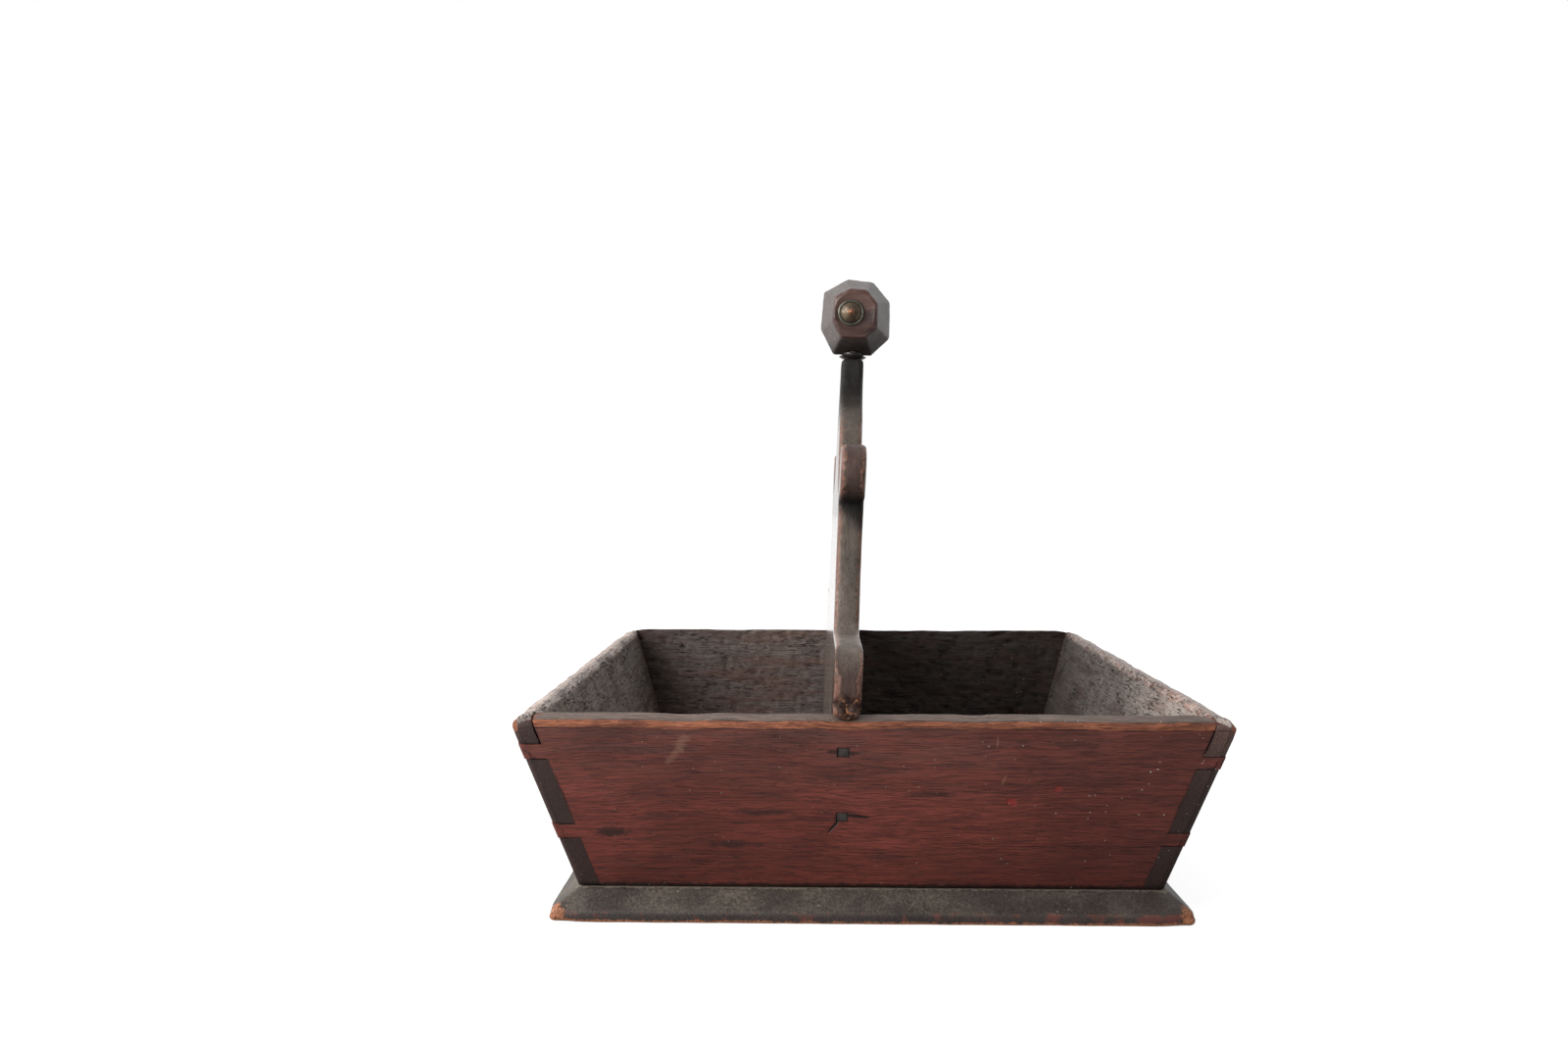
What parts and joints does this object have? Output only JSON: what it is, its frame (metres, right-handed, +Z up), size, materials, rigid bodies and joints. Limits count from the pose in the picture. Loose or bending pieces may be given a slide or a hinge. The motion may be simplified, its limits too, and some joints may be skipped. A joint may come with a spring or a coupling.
{
  "type": "hand seed tray",
  "caption": "Splay-sided, dovetailed wooden hand seed tray on a chamfered base, parted by a scroll-cut divider that rises to a post with a faceted finial.",
  "frame": {"origin": "under the middle of the base board, on the surface the tray rests on", "axes": "+Z up; +Y from front to rear, along the divider; the front is -Y; +X to the right seen from the front"},
  "size_m": [0.2528, 0.3294, 0.2486],
  "materials": {
    "wall_wood": "old worn varnish, dark red-brown",
    "base_wood": "old dark finish, grimy",
    "divider_wood": "grey-brown, rubbed by hands",
    "finial_wood": "dark, polished by hands",
    "ring_wood": "dark",
    "dowel_wood": "bare, hidden",
    "stud_brass": "aged, brown and green patina",
    "nail_iron": "old wrought iron, dark"
  },
  "bodies": {
    "root": {"base_board": "base_wood", "divider": "divider_wood", "divider_base_nail_1": "nail_iron", "divider_base_nail_2": "nail_iron", "finial_dowel": "dowel_wood", "finial_knob": "finial_wood", "front_base_nail_1": "nail_iron", "front_base_nail_2": "nail_iron", "front_board": "wall_wood", "front_divider_nail_1": "nail_iron", "front_divider_nail_2": "nail_iron", "front_stud": "stud_brass", "left_base_nail_1": "nail_iron", "left_base_nail_2": "nail_iron", "left_base_nail_3": "nail_iron", "left_board": "wall_wood", "neck_ring": "ring_wood", "rear_base_nail_1": "nail_iron", "rear_base_nail_2": "nail_iron", "rear_board": "wall_wood", "rear_divider_nail_1": "nail_iron", "rear_divider_nail_2": "nail_iron", "rear_stud": "stud_brass", "right_base_nail_1": "nail_iron", "right_base_nail_2": "nail_iron", "right_base_nail_3": "nail_iron", "right_board": "wall_wood"}
  },
  "joints": []
}
